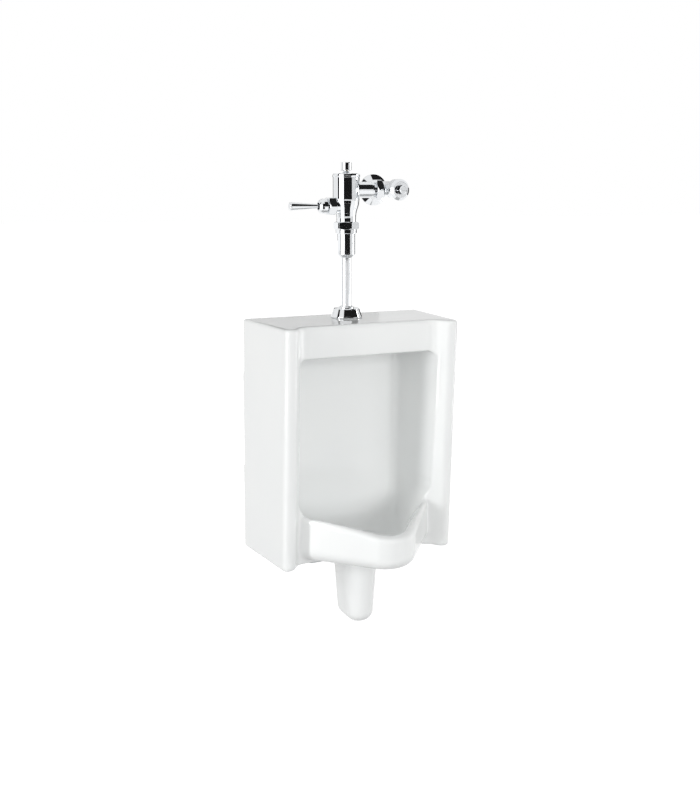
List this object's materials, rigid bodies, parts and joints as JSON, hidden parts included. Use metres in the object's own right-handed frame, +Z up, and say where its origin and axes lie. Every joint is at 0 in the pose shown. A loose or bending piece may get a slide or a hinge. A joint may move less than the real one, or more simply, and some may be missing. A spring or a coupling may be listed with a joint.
{
  "type": "wall-hung urinal with flush valve",
  "caption": "White china wall-hung urinal with an open-fronted cavity, a projecting bowl lip, a trap below and an exposed chrome flush valve with side lever and control stop.",
  "frame": {"origin": "centre of the waste outlet on the wall plane", "axes": "+Z up, +Y into the wall, so the bowl's lip points to -Y; +X to the right of someone who faces the urinal, the side of the control stop"},
  "size_m": [0.3892, 0.2914, 0.8875],
  "materials": {
    "vitreous_china": "glossy white glaze",
    "polished_chrome": "polished chrome plate on brass",
    "bare_brass": "machined",
    "black_rubber": "moulded, matte",
    "stainless_steel": "satin",
    "zinc_plated_steel": "zinc plated",
    "valve_plastic": "moulded"
  },
  "bodies": {
    "urinal": {"coupling_gasket": "black_rubber", "coupling_nut": "polished_chrome", "cover_gasket": "black_rubber", "drain_strainer": "stainless_steel", "flange_bolts": "bare_brass", "flange_nuts": "bare_brass", "flush_tube": "polished_chrome", "handle_bushing": "bare_brass", "handle_nut": "polished_chrome", "handle_socket": "polished_chrome", "inlet_coupling_nut": "polished_chrome", "inlet_o_ring": "black_rubber", "inlet_tail": "polished_chrome", "inside_cover": "bare_brass", "main_seat": "bare_brass", "outer_cap": "polished_chrome", "outlet_flange": "zinc_plated_steel", "outlet_gasket": "black_rubber", "plunger_packing": "black_rubber", "plunger_spring": "stainless_steel", "spud_body": "bare_brass", "spud_coupling_nut": "bare_brass", "spud_escutcheon": "polished_chrome", "spud_gasket": "black_rubber", "spud_locknut": "bare_brass", "spud_washer": "stainless_steel", "stop_body": "polished_chrome", "stop_bonnet": "polished_chrome", "stop_cap": "polished_chrome", "stop_o_ring": "black_rubber", "supply_nipple": "polished_chrome", "tube_seal": "black_rubber", "urinal_bowl": "vitreous_china", "vacuum_breaker_insert": "valve_plastic", "vacuum_breaker_tube": "polished_chrome", "valve_body": "polished_chrome", "wall_escutcheon": "polished_chrome", "wall_hanger_left": "zinc_plated_steel", "wall_hanger_right": "zinc_plated_steel"},
    "lever": {"handle_lever": "polished_chrome"},
    "plunger": {"plunger": "bare_brass"},
    "piston": {"piston": "bare_brass", "piston_cup": "black_rubber"},
    "relief": {"relief_valve": "bare_brass"},
    "regulator_carriage": {"regulator_o_ring": "black_rubber"},
    "regulator": {"regulator_knob": "polished_chrome", "regulator_spindle": "bare_brass"},
    "stop_carriage": {"stop_disc": "bare_brass", "stop_washer": "black_rubber"},
    "stop_stem": {"stop_screw": "polished_chrome"}
  },
  "joints": [
    {"name": "handle_tilt", "type": "hinge", "parent": "urinal", "child": "lever", "pos_m": [-0.0495, -0.065, 0.6943], "axis": [0, -1, 0], "range_deg": [0, 10], "stiffness_Nm_per_rad": 0.6, "springref_deg": -14.32},
    {"name": "plunger_slide", "type": "slide", "parent": "urinal", "child": "plunger", "axis": [1, 0, 0], "range_m": [0, 0.003], "deforming": ["plunger_spring"]},
    {"name": "piston_lift", "type": "slide", "parent": "urinal", "child": "piston", "axis": [0, 0, 1], "range_m": [0, 0.0045]},
    {"name": "relief_tilt", "type": "hinge", "parent": "piston", "child": "relief", "pos_m": [-0.009, -0.065, 0.7273], "axis": [0, -1, 0], "range_deg": [0, 4.5]},
    {"name": "regulator_advance", "type": "slide", "parent": "urinal", "child": "regulator_carriage", "axis": [0, 0, 1], "range_m": [0, 0.00125]},
    {"name": "regulator_turn", "type": "hinge", "parent": "regulator_carriage", "child": "regulator", "pos_m": [0, -0.065, 0.757], "axis": [0, 0, 1], "range_deg": [0, 360]},
    {"name": "stop_advance", "type": "slide", "parent": "urinal", "child": "stop_carriage", "axis": [0, 1, 0], "range_m": [0, 0.003]},
    {"name": "stop_turn", "type": "hinge", "parent": "stop_carriage", "child": "stop_stem", "pos_m": [0.088, -0.12, 0.715], "axis": [0, 1, 0], "range_deg": [0, 720]}
  ],
  "couplings": [
    {"joint": "plunger_slide", "follows": "handle_tilt", "m_per_rad": 0.01718},
    {"joint": "relief_tilt", "follows": "handle_tilt", "ratio": 0.4499},
    {"joint": "regulator_turn", "follows": "regulator_advance", "rad_per_m": 5026.5},
    {"joint": "stop_turn", "follows": "stop_advance", "rad_per_m": 4188.7}
  ]
}
